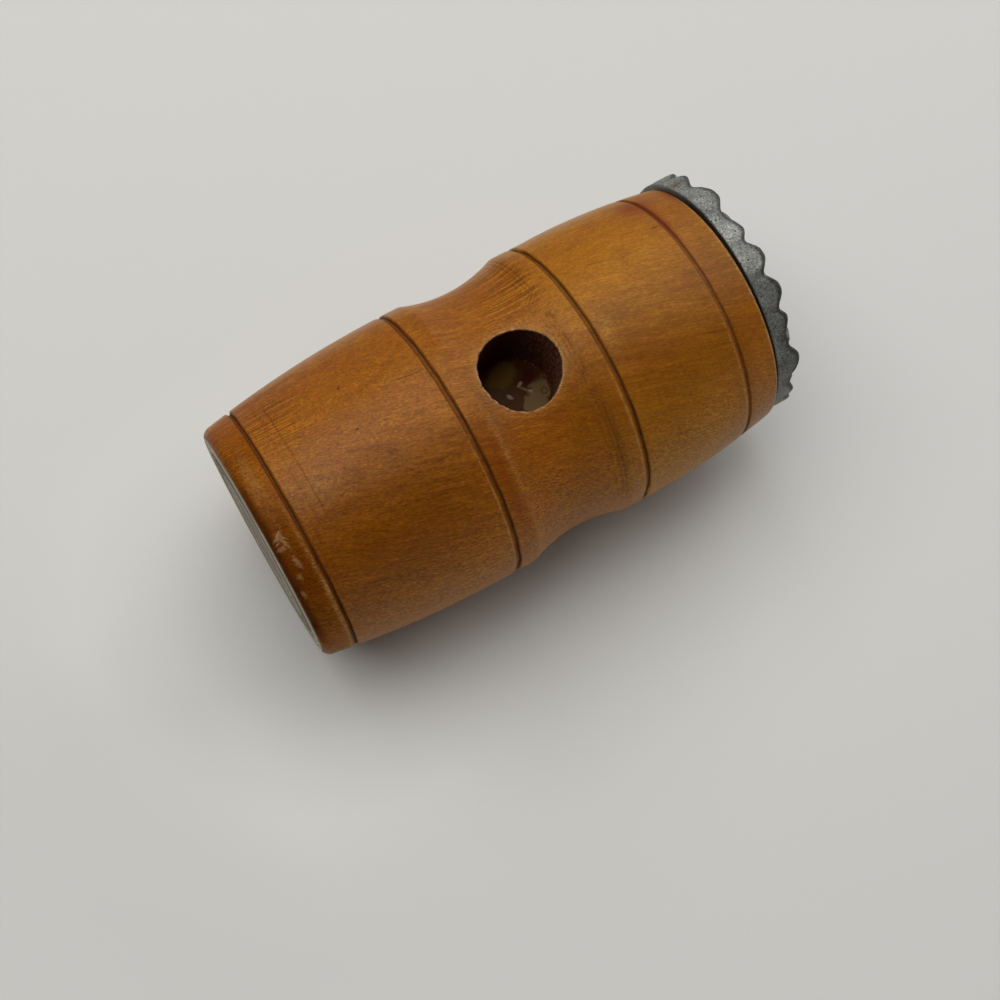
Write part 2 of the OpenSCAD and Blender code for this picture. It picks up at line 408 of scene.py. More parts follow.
def barrel_marks(points, s):
    """Dirt, worn varnish, painted light and shade, and other differences over the barrel's surface, as numbers at each
    point.
    """
    x = points[:, 0] - WAIST_X
    # Angle down the front from the middle of the socket, in degrees
    front = np.degrees(np.arctan2(-points[:, 1], points[:, 2] - AXIS_Z))
    outside = (np.hypot(points[:, 1], points[:, 2] - AXIS_Z) > BELLY_R - 4) | (x < -52)
    patchy = np.clip(0.45 + 0.5 * grit(points, 1.6, 71) + 0.5 * (grit(points, 0.6, 72) - 0.4), 0, 1.1)
    shade, red = np.ones(len(x)), np.zeros(len(x))
    for mx, ma, half_l, half_a, paler, redder in TONES:
        near = np.exp(-((x - mx) / half_l) ** 2 - ((front - ma) / half_a) ** 2)
        shade += paler * near
        red += redder * near * (0.6 + 0.6 * grit(points * (0.3, 1, 1), 1.5, 76))
    dirt_and_shade, worn = np.zeros(len(x)), np.zeros(len(x))
    for k, (place, depth, low, high, crest, start, wide, pale) in enumerate(GROOVES):
        side = x - place - 0.2 * (grit(points * (0.05, 1, 1), 3.0, 74 + k) - 0.5)
        broad = smooth(side, low - 0.2, low + 0.1) * smooth(side, high + 0.12, high - 0.12)
        # The stain is dirt with painted shade. It is broadest on the upper side and its darkest line runs along the
        # side of the plate
        broad *= smooth(side, -0.5, -0.25) + (1 - smooth(side, -0.5, -0.25)) * smooth(front, 30, 0)
        line = np.exp(-((side - 0.12) / 0.15) ** 2) + 0.5 * np.exp(-((side - low) / 0.16) ** 2) * smooth(front, 25, 0)
        dirt_and_shade += (0.48 * broad + 0.62 * line * (0.6 + 0.6 * grit(points, 1.2, 73))) * (0.25 + 0.75 * depth)
        # The pale crest is worn varnish with a painted highlight, stronger down the front, where light grazes it
        worn += pale * (0.3 + 0.6 * smooth(front, 15, 50)) * np.exp(-((side - crest) / wide) ** 2) * smooth(
            front, start, start + 20) * patchy
    for place, share, low, high in ((-46.4, 0.2, -60, 60), (-44.6, 0.4, -52, 24), (8.0, 0.22, -70, 80),
                                    (9.0, 0.3, -70, 80), (9.8, 0.4, -70, 80)):
        dirt_and_shade += share * np.exp(-((x - place) / 0.16) ** 2) * smooth(front, low, low + 10) * smooth(
            front, high, high - 10)
    # Pale broken line along the waist's edge, and along the edge beside the plate: worn varnish with a painted
    # highlight
    worn += 0.28 * np.exp(-((x + 10.8) / 0.45) ** 2) * smooth(front, -5, 20) * smooth(
        front, 60, 42) * (0.45 + 0.55 * smooth(grit(points, 2.2, 77), 0.3, 0.7))
    worn += 0.6 * smooth(x, 46.1, 46.4) * smooth(front, -50, -30) * patchy
    # and a painted reflection where the far side turns away from the eye
    worn += (0.2 + 0.4 * smooth(x, -50.6, -52)) * smooth(front, -57, -68)
    # Painted shade along the plain edge, where its rounding turns from the light, down the front only
    edge = 0.62 * smooth(x, -53.6 - 1.2 * grit(points, 1.5, 78), -55.1) * (0.25 + 0.75 * patchy)
    edge += 0.32 * smooth(x, -54.8, -55.6)
    dirt_and_shade += edge * smooth(front, -40, 0) * smooth(front, 85, 60)
    # Paler rubbed patches: worn varnish with a painted sheen
    for mx, ma, half_l, half_a, share in ((-43.0, 3, 3.2, 6, 0.2), (17.0, 4, 1.6, 7, 0.2),
                                          (-53.0, -16, 1.0, 12, 0.3)):
        worn += share * np.exp(-((x - mx) / half_l) ** 2 - ((front - ma) / half_a) ** 2) * patchy
    # Coarse brushed streaks high on the plain end and in the waist
    brushed = smooth(x, -34, -44) * smooth(front, -10, -26) + smooth(x, -3, 3) * smooth(x, 13, 10) * smooth(
        front, -14, -26)
    # Depth below the waist's surface, for the inside of the socket
    skin = AXIS_Z + np.sqrt(np.clip(turned_radius(x, s) ** 2 - points[:, 1] ** 2, 0, None))
    inside = smooth(skin - points[:, 2], 0.08, 0.4) * (np.hypot(x - s.socket_off, points[:, 1]) < s.socket_r + 0.4)
    return {"dirt_and_shade": np.clip(dirt_and_shade, 0, 1) * outside, "worn": np.clip(worn, 0, 1) * outside, "shade": shade,
            "red": np.clip(red, 0, 1) * outside, "brushed": brushed, "fuzzy": smooth(front, 38, 55),
            "inside": inside * (points[:, 2] > AXIS_Z)}


# Small chips, scratches and knots on the barrel: place along it, angle down the front in degrees, half
# length and half width in mm, slant in degrees and strength
CHIPS = ((-54.3, 13.0, 1.3, 0.5, 35, 0.46), (-53.6, 15.8, 0.4, 1.6, 15, 0.4), (-54.6, 18, 1.0, 0.5, 10, 0.34),
         (-53.2, 25.5, 0.5, 1.5, 10, 0.38), (-54.0, 32, 0.5, 0.8, 0, 0.3), (-54.9, 40, 0.4, 0.9, 0, 0.34),
         (-54.2, 12.2, 1.4, 0.14, 40, 0.7), (-53.5, 13.6, 1.2, 0.12, -50, 0.6), (-54.8, 15.5, 0.9, 0.12, 20, 0.6))

SCRATCHES = ((-19.8, -17.8, 3.4, 0.16, -11, 0.8), (37.5, -26.8, 1.1, 0.18, -4, 0.8), (32.2, -29.8, 1.8, 0.14, -5, 0.5),
             (0.0, -24.8, 1.6, 0.16, -3, 0.7), (-1.2, -44, 1.8, 0.2, 0, 0.5), (22.7, -23.2, 2.4, 0.16, -14, 0.5),
             (-31.2, -28.8, 0.4, 0.35, 0, 0.8), (-32.4, -8.7, 0.45, 0.3, 0, 0.8), (-36.8, -7.5, 0.25, 0.25, 0, 0.6),
             (-29.8, -8.0, 0.25, 0.2, 0, 0.5), (-28.9, 5.5, 0.9, 0.8, 0, 0.35), (-34.0, 5.6, 0.3, 0.3, 0, 0.4),
             (-9.5, -50, 1.3, 0.9, 0, 0.35), (3.2, -22, 0.9, 0.2, -4, 0.5))


def varnished_wood(c, s):
    """Turned beech under a thin, worn, orange-brown spirit varnish. The varnish gives the satin sheen, and the fine
    streaks and the short dark flecks are the beech's own. Painted shade, highlights and reflections are mixed into its
    colour too."""
    material, tree = new_material("varnished beech")
    place = add(tree, "ShaderNodeTexCoord").outputs["Object"]
    split = add(tree, "ShaderNodeSeparateXYZ", {0: place})
    # The fibres run about 18 degrees off the barrel's axis, because the block was cut across its grain
    along = add(tree, "ShaderNodeMapping", {
        "Vector": place, "Rotation": (0, math.radians(-11.3), math.radians(13.8))}).outputs[0]
    # Slow waves bend them, 25 mm long
    waves = add(tree, "ShaderNodeTexNoise", {"Vector": along, "Scale": 40, "Detail": 2})
    bend = add(tree, "ShaderNodeVectorMath", {0: waves.outputs["Color"], 1: (0.5, 0.5, 0.5)}, operation="SUBTRACT")
    bent = add(tree, "ShaderNodeVectorMath", {0: bend.outputs[0], 1: (0.003, 0.003, 0.003), 2: along},
               operation="MULTIPLY_ADD").outputs[0]
    # Each layer of figure: patterns per metre along and across the fibres, detail and weight
    layers = {"pores": (1150, 4600, 2, 1.3),        # 0.9 mm long and 0.22 mm wide
              "grain": (330, 2900, 2, 0.5),         # 3 mm long and 0.35 mm wide
              "fibres": (130, 2500, 2, 0.7),        # 8 mm long and 0.4 mm wide
              "streaks": (60, 750, 2, 0.5),         # 17 mm long and 1.3 mm wide
              "clouds": (60, 60, 3, 0.35)}          # blotches in the varnish, 17 mm
    noise = {}
    tone = 0.0
    # The figure is calmer towards the plate
    calm = add(tree, "ShaderNodeMapRange", {"Value": split.outputs["X"], "From Min": -0.004, "From Max": 0.016,
                                            "To Min": 1.0, "To Max": 0.74}).outputs[0]
    for name, (a, b, detail, weight) in layers.items():
        if name == "streaks":
            fine_half = sum(row[3] for row in list(layers.values())[:3]) / 2
            rest_half = sum(row[3] for row in list(layers.values())[3:]) / 2
            tone = add(tree, "ShaderNodeMath", {0: tone, 1: fine_half}, operation="SUBTRACT").outputs[0]
            tone = add(tree, "ShaderNodeMath", {0: tone, 1: calm, 2: 0.5 - rest_half},
                       operation="MULTIPLY_ADD").outputs[0]
        spread = add(tree, "ShaderNodeMapping", {"Vector": bent, "Scale": (a, b, b)})
        noise[name] = add(tree, "ShaderNodeTexNoise", {"Vector": spread.outputs[0], "Scale": 1, "Detail": detail})
        tone = add(tree, "ShaderNodeMath", {0: noise[name].outputs["Fac"], 1: weight, 2: tone},
                   operation="MULTIPLY_ADD").outputs[0]
    # Brushed streaks, 25 mm long and 0.4 mm wide, that wind slowly round the barrel
    z = add(tree, "ShaderNodeMath", {0: split.outputs["Z"], 1: AXIS_Z * MM}, operation="SUBTRACT").outputs[0]
    turn = add(tree, "ShaderNodeMath", {0: split.outputs["Y"], 1: z}, operation="ARCTAN2").outputs[0]
    round_it = add(tree, "ShaderNodeMath", {0: turn, 1: BELLY_R * MM}, operation="MULTIPLY").outputs[0]
    round_it = add(tree, "ShaderNodeMath", {0: split.outputs["X"], 1: 0.18, 2: round_it},
                   operation="MULTIPLY_ADD").outputs[0]
    brush_at = add(tree, "ShaderNodeCombineXYZ", {"X": split.outputs["X"], "Y": round_it})
    brush_at = add(tree, "ShaderNodeMapping", {"Vector": brush_at.outputs[0], "Scale": (40, 2600, 1)})
    brush = add(tree, "ShaderNodeTexNoise", {"Vector": brush_at.outputs[0], "Scale": 1, "Detail": 2})
    brush = add(tree, "ShaderNodeMapRange", {"Value": brush.outputs["Fac"], "From Min": 0.35, "From Max": 0.65,
                                             "To Min": -0.42, "To Max": 0.26})
    brushed = add(tree, "ShaderNodeAttribute", attribute_name="brushed").outputs["Fac"]
    tone = add(tree, "ShaderNodeMath", {0: brush.outputs[0], 1: brushed, 2: tone}, operation="MULTIPLY_ADD").outputs[0]
    # The pores stand out more on the lower side, where light grazes it
    fuzzy = add(tree, "ShaderNodeAttribute", attribute_name="fuzzy").outputs["Fac"]
    fuzz = add(tree, "ShaderNodeMapRange", {"Value": noise["pores"].outputs["Fac"], "From Min": 0.0, "From Max": 1.0,
                                            "To Min": -0.5, "To Max": 0.5})
    tone = add(tree, "ShaderNodeMath", {0: fuzz.outputs[0], 1: fuzzy, 2: tone}, operation="MULTIPLY_ADD").outputs[0]
    # Fine lines from the lathe, 0.4 mm apart
    lathe_at = add(tree, "ShaderNodeMath", {0: split.outputs["X"], 1: 2500.0}, operation="MULTIPLY")
    lathe = add(tree, "ShaderNodeTexNoise", {"W": lathe_at.outputs[0], "Scale": 1, "Detail": 2}, noise_dimensions="1D")
    tone = add(tree, "ShaderNodeMath", {0: lathe.outputs["Fac"], 1: 0.16, 2: tone}, operation="MULTIPLY_ADD")
    tone = add(tree, "ShaderNodeMath", {0: tone.outputs[0], 1: 0.08}, operation="SUBTRACT")
    colour_now = add(tree, "ShaderNodeValToRGB", {"Fac": tone.outputs[0]}, ramp=[
        (0.0, c.varnish_dark), (0.5, c.varnish_mid), (1.0, c.varnish_light)]).outputs[0]
    # Painted light round the barrel: painted shade darkens it just below its front, and painted reflections make the
    # edges that turn away from the eye paler and greyer
    painted_light_at = add(tree, "ShaderNodeMath", {0: noise["streaks"].outputs["Fac"], 1: 0.006, 2: split.outputs["Y"]},
                   operation="MULTIPLY_ADD")
    painted_light_at = add(tree, "ShaderNodeMapRange", {"Value": painted_light_at.outputs[0], "From Min": -0.0265, "From Max": 0.0335})
    tint = add(tree, "ShaderNodeValToRGB", {"Fac": painted_light_at.outputs[0]}, ramp=[
        (0.0, (1.6, 1.95, 2.4)), (0.07, (1.28, 1.42, 1.6)), (0.14, (0.95, 0.97, 0.95)), (0.25, (0.74, 0.7, 0.66)),
        (0.36, (0.74, 0.71, 0.61)), (0.45, (0.83, 0.85, 0.78)), (0.53, (0.97, 1.03, 0.96)), (0.62, (0.99, 1.05, 1.0)),
        (0.78, (0.93, 0.92, 0.8)),
        (0.84, (0.92, 0.88, 0.8)), (0.88, (1.0, 1.15, 1.4))])
    # It is also a little darker at the plain end and more golden towards the plate
    side_at = add(tree, "ShaderNodeMapRange", {"Value": split.outputs["X"], "From Min": -0.055, "From Max": 0.049})
    golden = add(tree, "ShaderNodeValToRGB", {"Fac": side_at.outputs[0]}, ramp=[
        (0.03, (0.82, 0.76, 0.65)), (0.07, (0.98, 0.97, 0.95)), (0.55, (1.0, 1.0, 1.0)), (0.7, (1.11, 1.25, 1.2)),
        (0.86, (1.11, 1.28, 1.3)), (0.93, (1.0, 1.07, 1.0))])
    # These multiply the colour: the painted light round the barrel, the tone along it and the patches of tone and
    # painted light from TONES
    shade = add(tree, "ShaderNodeAttribute", attribute_name="shade")
    for layer in (tint.outputs[0], golden.outputs[0], shade.outputs["Fac"]):
        colour_now = add(tree, "ShaderNodeMixRGB", {"Fac": 1.0, "Color1": colour_now, "Color2": layer},
                         blend_type="MULTIPLY").outputs[0]
    # Short dark flecks, 2 mm long and 0.25 mm wide
    fleck_at = add(tree, "ShaderNodeMapping", {"Vector": bent, "Scale": (480, 4000, 4000)})
    flecks = add(tree, "ShaderNodeTexNoise", {"Vector": fleck_at.outputs[0], "Scale": 1, "Detail": 1})
    fleck = add(tree, "ShaderNodeMapRange", {"Value": flecks.outputs["Fac"], "From Min": 0.66, "From Max": 0.8,
                                             "To Max": 0.7})

    # Chips, and the scratches and knots, whose edges are broken up by noise
    fine = add(tree, "ShaderNodeTexNoise", {"Vector": place, "Scale": 1900, "Detail": 3}).outputs["Fac"]
    spots = {}
    for name, marks, ragged, soft in (("chips", CHIPS, 2.2, 0.25), ("scratches", SCRATCHES, 0.8, 0)):
        spots[name] = None
        for mx, front, half_l, half_w, slant, strength in marks:
            a = math.radians(front)
            r = float(turned_radius(np.array(float(mx)), s))
            spot = (mx + WAIST_X, -r * math.sin(a), AXIS_Z + r * math.cos(a))
            frame_now = Matrix.Rotation(a, 3, "X") @ Matrix.Rotation(math.radians(slant), 3, "Z")
            near = add(tree, "ShaderNodeMapping", {
                "Vector": place, "Location": [v * MM for v in spot], "Rotation": frame_now.to_euler(),
                "Scale": (half_l * MM, half_w * MM, 0.8 * MM)}, vector_type="TEXTURE")
            near = add(tree, "ShaderNodeVectorMath", {0: near.outputs[0]}, operation="LENGTH")
            near = add(tree, "ShaderNodeMath", {0: fine, 1: ragged, 2: near.outputs["Value"]}, operation="MULTIPLY_ADD")
            near = add(tree, "ShaderNodeMapRange", {
                "Value": near.outputs[0], "From Min": 1 + soft + ragged / 2, "From Max": 0.5 - soft + ragged / 2,
                "To Max": strength})
            if spots[name] is None:
                spots[name] = near.outputs[0]
            else:
                spots[name] = add(tree, "ShaderNodeMath", {0: spots[name], 1: near.outputs[0]},
                                  operation="MAXIMUM").outputs[0]

    # Raw ring round the socket's mouth, a paler halo beyond it, and stained wood with painted shade inside it
    flat = add(tree, "ShaderNodeMapping", {
        "Vector": place, "Location": (-(WAIST_X + s.socket_off) * MM, 0, 0), "Scale": (1, 1, 0)})
    away = add(tree, "ShaderNodeVectorMath", {0: flat.outputs[0]}, operation="LENGTH").outputs["Value"]
    ragged = add(tree, "ShaderNodeMath", {0: fine, 1: 0.0008, 2: away}, operation="MULTIPLY_ADD").outputs[0]
    above = add(tree, "ShaderNodeMapRange", {"Value": split.outputs["Z"], "From Min": 0.030, "From Max": 0.031}).outputs[0]
    masks = {}
    for name, start, full, share in (("halo", 0.0105, 0.0087, 0.12), ("raw", 0.0088, 0.0083, 0.85)):
        mask = add(tree, "ShaderNodeMapRange", {
            "Value": ragged, "From Min": start, "From Max": full, "To Max": share})
        masks[name] = add(tree, "ShaderNodeMath", {0: mask.outputs[0], 1: above}, operation="MULTIPLY").outputs[0]

    # The dark inside of the socket is stain with painted shade
    masks["inner"] = add(tree, "ShaderNodeAttribute", attribute_name="inside").outputs["Fac"]
    # Painted highlight: the torn fibres on the wall nearest the plate are painted pale where they catch the light
    painted_fibre_light = add(tree, "ShaderNodeMapRange", {"Value": fine, "From Min": 0.48, "From Max": 0.68, "To Max": 0.4})
    side = add(tree, "ShaderNodeMapRange", {
        "Value": split.outputs["X"], "From Min": (WAIST_X + 2.5) * MM, "From Max": (WAIST_X + 6.0) * MM})
    painted_fibre_light = add(tree, "ShaderNodeMath", {0: painted_fibre_light.outputs[0], 1: side.outputs[0]}, operation="MULTIPLY")
    socket = add(tree, "ShaderNodeMixRGB", {"Fac": painted_fibre_light.outputs[0], "Color1": c.socket, "Color2": c.bare})

    # Bare end grain with its turned rings on the plain face
    metres_x = add(tree, "ShaderNodeMath", {0: split.outputs["X"], 1: WAIST_X * MM}, operation="SUBTRACT").outputs[0]
    end = add(tree, "ShaderNodeMapRange", {"Value": metres_x, "From Min": -0.05595, "From Max": -0.05615}).outputs[0]
    across = add(tree, "ShaderNodeMapping", {"Vector": place, "Location": (0, 0, -AXIS_Z * MM), "Scale": (0, 1, 1)})
    radius = add(tree, "ShaderNodeVectorMath", {0: across.outputs[0]}, operation="LENGTH").outputs["Value"]
    ring_at = add(tree, "ShaderNodeMath", {0: radius, 1: 1400.0}, operation="MULTIPLY")
    lathe = add(tree, "ShaderNodeTexNoise", {"W": ring_at.outputs[0], "Scale": 1, "Detail": 3}, noise_dimensions="1D")
    lathe = add(tree, "ShaderNodeValToRGB", {"Fac": lathe.outputs["Fac"]}, ramp=[
        (0.38, linear("#7a7265")), (0.5, c.end_grain), (0.62, linear("#bdb5a6"))])
    # The lathe's lines are fainter towards the middle
    band_at = add(tree, "ShaderNodeMapRange", {"Value": radius, "From Min": 0.004, "From Max": 0.02, "To Min": 0.3})
    lathe = add(tree, "ShaderNodeMixRGB", {"Fac": band_at.outputs[0], "Color1": c.end_grain,
                                           "Color2": lathe.outputs[0]})
    # Painted light and shade on the face's rings: the outer ring is painted paler, with a band of painted shade inside
    # it
    band_at = add(tree, "ShaderNodeMapRange", {"Value": radius, "From Max": 0.025})
    painted_ring_light = add(tree, "ShaderNodeValToRGB", {"Fac": band_at.outputs[0]}, ramp=[
        (0.1, (0.9, 0.9, 0.9)), (0.28, (0.75, 0.75, 0.73)), (0.4, (1.08, 1.08, 1.06)), (0.58, (1.0, 1.0, 0.98)),
        (0.68, (0.7, 0.69, 0.66)), (0.76, (0.6, 0.59, 0.56)), (0.82, (0.9, 0.9, 0.88)), (0.87, (1.35, 1.36, 1.36)),
        (0.95, (1.3, 1.3, 1.24)), (0.985, (0.95, 0.9, 0.8))])
    lathe = add(tree, "ShaderNodeMixRGB", {"Fac": 1.0, "Color1": lathe.outputs[0], "Color2": painted_ring_light.outputs[0]},
                blend_type="MULTIPLY")
    # Growth rings 1.6 mm apart round a heart 60 mm below, and pores 0.2 mm across
    heart = add(tree, "ShaderNodeMapping", {"Vector": place, "Location": (0, 0.02, 0.035), "Scale": (0, 1, 1)})
    ring_at = add(tree, "ShaderNodeVectorMath", {0: heart.outputs[0]}, operation="LENGTH").outputs["Value"]
    ring_at = add(tree, "ShaderNodeMath", {0: ring_at, 1: 620.0}, operation="MULTIPLY")
    growth = add(tree, "ShaderNodeTexNoise", {"W": ring_at.outputs[0], "Scale": 1, "Detail": 2},
                 noise_dimensions="1D")
    pores = add(tree, "ShaderNodeTexNoise", {"Vector": place, "Scale": 5000, "Detail": 1})
    growth = add(tree, "ShaderNodeMath", {0: growth.outputs["Fac"], 1: pores.outputs["Fac"]}, operation="ADD")
    growth = add(tree, "ShaderNodeMapRange", {"Value": growth.outputs[0], "From Min": 0.7, "From Max": 1.2,
                                              "To Min": 0.68, "To Max": 1.15})
    lathe = add(tree, "ShaderNodeMixRGB", {"Fac": 1.0, "Color1": lathe.outputs[0], "Color2": growth.outputs[0]},
                blend_type="MULTIPLY")

    speckle = add(tree, "ShaderNodeMapRange", {"Value": noise["pores"].outputs["Fac"], "From Min": 0.38, "From Max": 0.62,
                                               "To Min": 0.25, "To Max": 1.5}).outputs[0]
    worn = add(tree, "ShaderNodeAttribute", attribute_name="worn").outputs["Fac"]
    worn = add(tree, "ShaderNodeMath", {0: worn, 1: speckle}, operation="MULTIPLY", use_clamp=True).outputs[0]
    for name in ("halo", "raw"):
        masks[name] = add(tree, "ShaderNodeMath", {0: masks[name], 1: speckle}, operation="MULTIPLY",
                          use_clamp=True).outputs[0]
    red = add(tree, "ShaderNodeAttribute", attribute_name="red").outputs["Fac"]
    dirt_and_shade = add(tree, "ShaderNodeAttribute", attribute_name="dirt_and_shade").outputs["Fac"]
    for mask, tint in ((fleck.outputs[0], c.varnish_dark), (red, c.varnish_red), (masks["halo"], c.crest),
                       (worn, c.crest), (dirt_and_shade, c.dirt_and_shade), (spots["chips"], c.bare), (spots["scratches"], c.dirt_and_shade),
                       (masks["raw"], c.bare), (masks["inner"], socket.outputs[0]), (end, lathe.outputs[0])):
        colour_now = add(tree, "ShaderNodeMixRGB", {"Fac": mask, "Color1": colour_now, "Color2": tint}).outputs[0]

    # Bare places, and those with dirt and painted shade, are matt
    matt = end
    for mask in (masks["raw"], masks["inner"], spots["chips"], dirt_and_shade):
        matt = add(tree, "ShaderNodeMath", {0: matt, 1: mask}, operation="MAXIMUM").outputs[0]
    gloss = add(tree, "ShaderNodeMapRange", {"Value": noise["clouds"].outputs["Fac"], "From Min": 0.3,
                                             "From Max": 0.7, "To Min": 0.38, "To Max": 0.48})
    rough = add(tree, "ShaderNodeMapRange", {"Value": matt, "To Min": gloss.outputs[0], "To Max": 0.9})
    height = add(tree, "ShaderNodeMath", {0: noise["fibres"].outputs["Fac"], 1: noise["pores"].outputs["Fac"]},
                 operation="ADD")
    bump = add(tree, "ShaderNodeBump", {"Height": height.outputs[0], "Strength": 0.3, "Distance": 0.00006})
    # The varnish has lost its shine on the far side and at the plain end
    dull = add(tree, "ShaderNodeMapRange", {"Value": split.outputs["Y"], "From Min": 0.013, "From Max": 0.02,
                                            "To Min": 0.18, "To Max": 0.06})
    shine = add(tree, "ShaderNodeMapRange", {"Value": split.outputs["X"], "From Min": -0.0495, "From Max": -0.0475,
                                             "To Min": 0.05, "To Max": dull.outputs[0]})
    # but it still gleams where it turns away from the eye
    gleam = add(tree, "ShaderNodeMapRange", {"Value": split.outputs["Y"], "From Min": 0.0232, "From Max": 0.0268,
                                             "To Max": 0.4})
    shine = add(tree, "ShaderNodeMath", {0: shine.outputs[0], 1: gleam.outputs[0]}, operation="ADD")
    shader = add(tree, "ShaderNodeBsdfPrincipled", {
        "Base Color": colour_now, "Roughness": rough.outputs[0], "Normal": bump.outputs[0], "IOR": 1.5,
        "Specular IOR Level": shine.outputs[0]})
    add(tree, "ShaderNodeOutputMaterial", {"Surface": shader.outputs[0]})
    return material


# Plate
def tooth_height(u, w, p):
    """Share of the teeth's full height at a place on the plate, in millimetres from its centre."""
    flank = (p.pitch - p.flat) / 2

    def rise(d):
        return (1 - p.full) * 2 * d / p.pitch + p.full * np.sin(math.pi * d / p.pitch)

    shares = []
    for place, valley in ((u, -0.3), (w, 0.7)):
        d = np.abs((place - valley + p.pitch / 2) % p.pitch - p.pitch / 2)
        # The valleys are sharp and the tips worn round
        d = np.sqrt(np.minimum(d, flank) ** 2 + 0.1 ** 2) - 0.1
        shares.append(rise(d) / rise(flank))
    a, b = shares
    # A soft minimum rounds the hips where two flanks meet
    soft = 0.16
    h = np.clip(0.5 + 0.5 * (b - a) / soft, 0, 1)
    low = b * (1 - h) + a * h - soft * h * (1 - h)
    return np.clip(low - 0.045 * smooth(low, 0.7, 1.0), 0, 1)


def plate_mesh(p):
    """The cast plate as one closed surface, from the recess in the middle of the teeth to its seat, with its lumps, the
    places where grime collects, and painted shade on its rim, its lower side and its back edge in the gap by the wood."""
    turns = 700
    angle = np.arange(turns) / turns * 2 * math.pi
    centre = np.array([(PLATE_LOW[1] + PLATE_HIGH[1]) / 2, (PLATE_LOW[2] + PLATE_HIGH[2]) / 2])
    tip_x, back_x = PLATE_HIGH[0], HEAD_HIGH[0] + p.gap
    valley_x = back_x + p.rim
    points, faces = [], []
    count = 0
    previous = None

    def put(x, r, grime_and_shade=0.0):
        nonlocal count, previous
        y, z = r * np.cos(angle), r * np.sin(angle)
        here = np.stack([x + 0 * r, y, z], -1)
        # Lumps and pits left by the sand mould
        lumps = 0.10 * (grit(here, 1.6, 51) - 0.6) + 0.05 * (grit(here, 0.7, 52) - 0.6)
        pits = np.clip(grit(here, 0.9, 53) - 0.8, 0, 1) * 0.7
        block = np.stack([x + 0 * r, centre[0] + y, centre[1] + z], -1)
        points.append((block, lumps - pits, grime_and_shade + 0 * r))
        row = np.arange(count, count + turns)
        count += turns
        if previous is not None:
            faces.extend(strip(previous, row))
        previous = row

    def teeth_at(r):
        y, z = r * np.cos(angle), r * np.sin(angle)
        u = y * math.cos(p.turn) + z * math.sin(p.turn)
        w = -y * math.sin(p.turn) + z * math.cos(p.turn)
        return tooth_height(u, w, p)

    one = np.ones(turns)
    put(valley_x - 3.4, 2.3 * one, 1)
    put(valley_x - 2.7, 2.35 * one, 1)
    put(valley_x - 0.5, 4.3 * one, 0.6)
    put(valley_x - 0.2, 4.32 * one, 0.6)
    put(valley_x - 0.2, (p.land_r - 0.15) * one, 0.6)
    for share in (0.05, 0.35, 0.7, 0.95):
        put(valley_x - 0.2 + (0.2 + p.tooth_h * teeth_at(p.land_r * one)) * share, p.land_r * one, 0.4)
    start, rim_round = p.land_r + 0.12, 0.55
    for r in np.linspace(start, p.radius - rim_round, 64):
        high = teeth_at(r * one)
        put(valley_x + p.tooth_h * high, r * one, 0.75 * smooth(high, 0.3, 0.0))
    # Near the rim the teeth are a little rounder, because the sand gave way there
    at_rim = teeth_at((p.radius - 0.3) * one)
    around = sum(np.roll(at_rim, k) * math.exp(-(k / 3) ** 2) for k in range(-8, 9))
    at_rim = around / sum(math.exp(-(k / 3) ** 2) for k in range(-8, 9))
    top = valley_x + p.tooth_h * at_rim
    # Shallow flutes run down the side from each valley
    flute = 0.3 * np.clip(1 - at_rim / 0.45, 0, 1) ** 1.5
    # Grime and painted shade on the rim's rounded edge
    for b in np.radians((15, 30, 45, 60, 75, 90)):
        put(top - rim_round * (1 - math.cos(b)), p.radius - rim_round + rim_round * math.sin(b) - flute * math.sin(b),
            0.75)
    # Down the side: grime in the flutes and below the rim, and painted shade on the lower side
    for share in np.linspace(0.06, 1, 14):
        x = (top - rim_round) + (back_x + 0.35 - top + rim_round) * share
        put(x, p.radius - flute * (1 - share) ** 1.2 - 0.05 * share,
            np.maximum(0.75 * smooth(share + 0 * one, 0.22, 0.0), 0.5 * flute / 0.3 * (1 - share))
            + 0.28 * smooth(np.cos(angle), 0.25, -0.4))
    # Painted shade on the back edge and on the seat behind it, in the gap by the wood, lighter on the upper side of the
    # edge
    for b in np.radians((22, 45, 68, 90)):
        put((back_x + 0.35 * (1 - math.sin(b))) * one, (p.radius - 0.4 + 0.35 * math.cos(b)) * one,
            (0.2 + 0.6 * b / 1.57) * (0.2 + 0.8 * smooth(p.radius * np.cos(angle), 19, 12)))
    put(back_x * one, (p.seat_r + 0.3) * one, 1)
    put((back_x - 0.2) * one, p.seat_r * one, 1)
    put((back_x - p.gap) * one, (p.seat_r - 0.05) * one, 1)
    put((back_x - p.gap) * one, 12 * one, 1)
    put((back_x - p.gap) * one, 2.3 * one, 1)
    faces.extend(strip(previous, np.arange(turns)))
    blocks, noise, grime_and_shade = (np.concatenate([part[k] for part in points]) for k in range(3))
    return blocks, noise, grime_and_shade, faces


